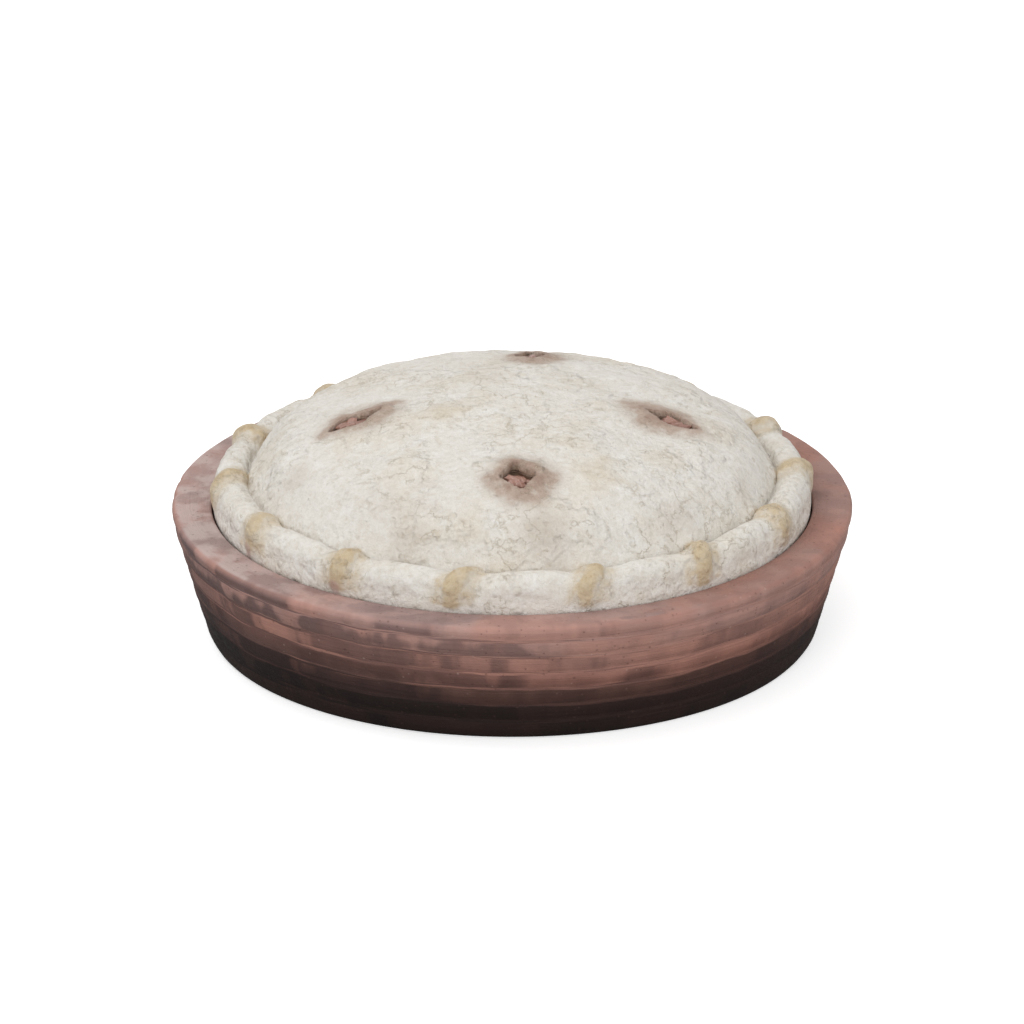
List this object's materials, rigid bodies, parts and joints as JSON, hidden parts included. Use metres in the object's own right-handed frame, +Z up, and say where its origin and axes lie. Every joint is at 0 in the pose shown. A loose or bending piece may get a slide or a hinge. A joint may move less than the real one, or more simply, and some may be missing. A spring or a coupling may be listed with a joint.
{
  "type": "smoked salmon pie",
  "caption": "Round savoury pie in its thick earthenware dish: domed pale pastry lid with rolled, pinched edge and steam vents showing salmon filling.",
  "frame": {"origin": "centre of the dish's flat foot, on the surface it stands on", "axes": "+Z up, -Y towards the front as pictured, +X to the right of that view"},
  "size_m": [0.24, 0.24, 0.087],
  "materials": {
    "clay": "unglazed rose-brown earthenware, smoke-darkened towards the foot, roughness 0.75",
    "salmon": "moist flaked salmon in sauce, roughness 0.35",
    "pastry": "pale baked shortcrust with golden pinches, roughness 0.6"
  },
  "bodies": {
    "root": {"dish": "clay", "filling": "salmon", "pastry_lid": "pastry"}
  },
  "joints": []
}
